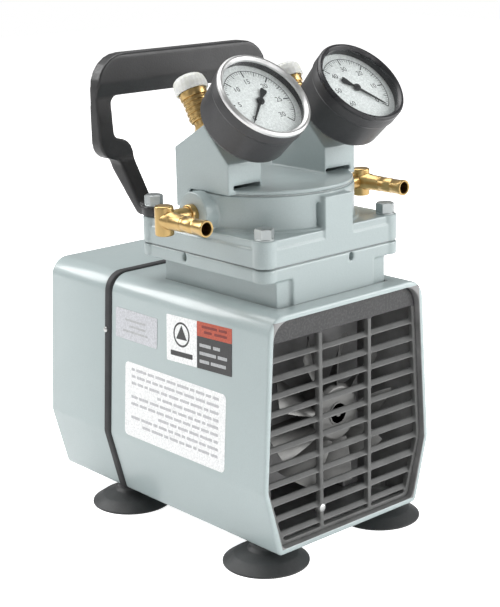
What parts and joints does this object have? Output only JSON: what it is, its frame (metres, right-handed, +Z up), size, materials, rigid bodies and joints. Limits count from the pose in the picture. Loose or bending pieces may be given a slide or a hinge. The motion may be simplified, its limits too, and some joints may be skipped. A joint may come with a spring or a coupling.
{
  "type": "diaphragm vacuum pump",
  "caption": "Portable oil-free diaphragm vacuum and pressure pump: a motor in a louvred housing, a pump head with two gauges, relief valves, hose barbs, a handle and suction feet.",
  "frame": {"origin": "centre of the bounding box at the height of the surface it stands on", "axes": "+Z up, the front louvres face -Y, +X to the right seen from the front"},
  "size_m": [0.1676, 0.21, 0.29],
  "materials": {
    "housing_paint": "satin",
    "head_paint": "satin",
    "rubber": "matte",
    "grille_plastic": "satin",
    "gauge_plastic": "satin",
    "screw_steel": "satin",
    "plate_steel": "satin",
    "machined_steel": "satin",
    "cast_aluminium": "cast",
    "fan_aluminium": "satin",
    "lamination": "rough",
    "copper": "varnished",
    "flapper_steel": "satin",
    "chrome_bezel": "polished",
    "black_bezel": "gloss",
    "dial_white": "matte",
    "lens": "clear",
    "pointer_black": "matte",
    "brass": "satin",
    "knob_white": "satin",
    "handle_black": "satin",
    "label_film": "satin",
    "gland_black": "matte"
  },
  "bodies": {
    "housing": {"shroud_front": "housing_paint", "shroud_rear": "housing_paint", "seam_gasket": "rubber", "collar_gasket": "rubber", "grille_front": "grille_plastic", "grille_rear": "grille_plastic", "grille_screws": "screw_steel", "base_plate": "plate_steel", "crankcase": "head_paint", "head_plate": "head_paint", "head_gasket": "rubber", "manifold": "head_paint", "diaphragm": "rubber", "stator_core": "lamination", "windings": "copper", "rear_bracket": "cast_aluminium", "motor_bearings": "machined_steel", "through_bolts": "screw_steel", "gauge_case_left": "gauge_plastic", "gauge_bezel_left": "chrome_bezel", "gauge_dial_left": "dial_white", "gauge_lens_left": "lens", "gauge_stem_left": "brass", "gauge_case_right": "gauge_plastic", "gauge_bezel_right": "black_bezel", "gauge_dial_right": "dial_white", "gauge_lens_right": "lens", "gauge_stem_right": "brass", "relief_body_left": "brass", "relief_spring_left": "machined_steel", "relief_body_right": "brass", "relief_spring_right": "machined_steel", "elbow_left": "brass", "elbow_right": "brass", "handle": "handle_black", "head_screws": "screw_steel", "suction_feet": "rubber", "foot_screws": "screw_steel", "label_plates": "label_film", "cord_gland": "gland_black"},
    "rotor": {"motor_shaft": "machined_steel", "rotor_core": "lamination", "eccentric": "machined_steel", "fan_front": "fan_aluminium", "fan_rear": "fan_aluminium"},
    "rod": {"connecting_rod": "cast_aluminium", "rod_bearing": "machined_steel", "clamp_plate_lower": "plate_steel", "clamp_plate_upper": "plate_steel", "clamp_screw": "screw_steel"},
    "pointer_left": {"gauge_pointer_left": "pointer_black"},
    "pointer_right": {"gauge_pointer_right": "pointer_black"},
    "seat_left": {"relief_seat_left": "machined_steel"},
    "seat_right": {"relief_seat_right": "machined_steel"},
    "knob_left": {"relief_knob_left": "knob_white"},
    "knob_right": {"relief_knob_right": "knob_white"},
    "poppet_left": {"relief_poppet_left": "machined_steel"},
    "poppet_right": {"relief_poppet_right": "machined_steel"},
    "intake_valve": {"intake_flapper": "flapper_steel"},
    "exhaust_valve": {"exhaust_flapper": "flapper_steel"}
  },
  "joints": [
    {"name": "rotor_spin", "type": "hinge", "parent": "housing", "child": "rotor", "pos_m": [0, 0, 0.082], "axis": [0, 1, 0], "continuous": true, "deforming": ["diaphragm"]},
    {"name": "rod_pin", "type": "hinge", "parent": "rotor", "child": "rod", "pos_m": [0, -0.036, 0.0855], "axis": [0, 1, 0], "continuous": true},
    {"name": "gauge_left_turn", "type": "hinge", "parent": "housing", "child": "pointer_left", "pos_m": [-0.0376, -0.07579, 0.27049], "axis": [0, -0.7071, 0.7071], "range_deg": [-270, 0], "stiffness_Nm_per_rad": 0.002},
    {"name": "gauge_right_turn", "type": "hinge", "parent": "housing", "child": "pointer_right", "pos_m": [0.0376, -0.07579, 0.27049], "axis": [0, -0.7071, 0.7071], "range_deg": [0, 270], "stiffness_Nm_per_rad": 0.002},
    {"name": "relief_left_feed", "type": "slide", "parent": "housing", "child": "seat_left", "axis": [0, 0.5, 0.866], "range_m": [-0.00125, 0.00125], "deforming": ["relief_spring_left"]},
    {"name": "relief_left_turn", "type": "hinge", "parent": "seat_left", "child": "knob_left", "pos_m": [-0.0376, -0.026, 0.24485], "axis": [0, 0.5, 0.866], "range_deg": [-361, 361]},
    {"name": "relief_left_lift", "type": "slide", "parent": "housing", "child": "poppet_left", "axis": [0, 0.5, 0.866], "range_m": [0, 0.0015], "stiffness_N_per_m": 600},
    {"name": "relief_right_feed", "type": "slide", "parent": "housing", "child": "seat_right", "axis": [0, 0.5, 0.866], "range_m": [-0.00125, 0.00125], "deforming": ["relief_spring_right"]},
    {"name": "relief_right_turn", "type": "hinge", "parent": "seat_right", "child": "knob_right", "pos_m": [0.0376, -0.026, 0.24485], "axis": [0, 0.5, 0.866], "range_deg": [-361, 361]},
    {"name": "relief_right_lift", "type": "slide", "parent": "housing", "child": "poppet_right", "axis": [0, 0.5, 0.866], "range_m": [0, 0.0015], "stiffness_N_per_m": 600},
    {"name": "intake_valve_swing", "type": "hinge", "parent": "housing", "child": "intake_valve", "pos_m": [-0.019, -0.036, 0.1886], "axis": [0, -1, 0], "range_deg": [0, 12], "stiffness_Nm_per_rad": 0.004},
    {"name": "exhaust_valve_swing", "type": "hinge", "parent": "housing", "child": "exhaust_valve", "pos_m": [0.019, -0.036, 0.1934], "axis": [0, -1, 0], "range_deg": [0, 12], "stiffness_Nm_per_rad": 0.004}
  ],
  "couplings": [
    {"joint": "rod_pin", "follows": "rotor_spin", "ratio": -1},
    {"joint": "relief_left_turn", "follows": "relief_left_feed", "rad_per_m": 5026.5},
    {"joint": "relief_right_turn", "follows": "relief_right_feed", "rad_per_m": 5026.5}
  ]
}
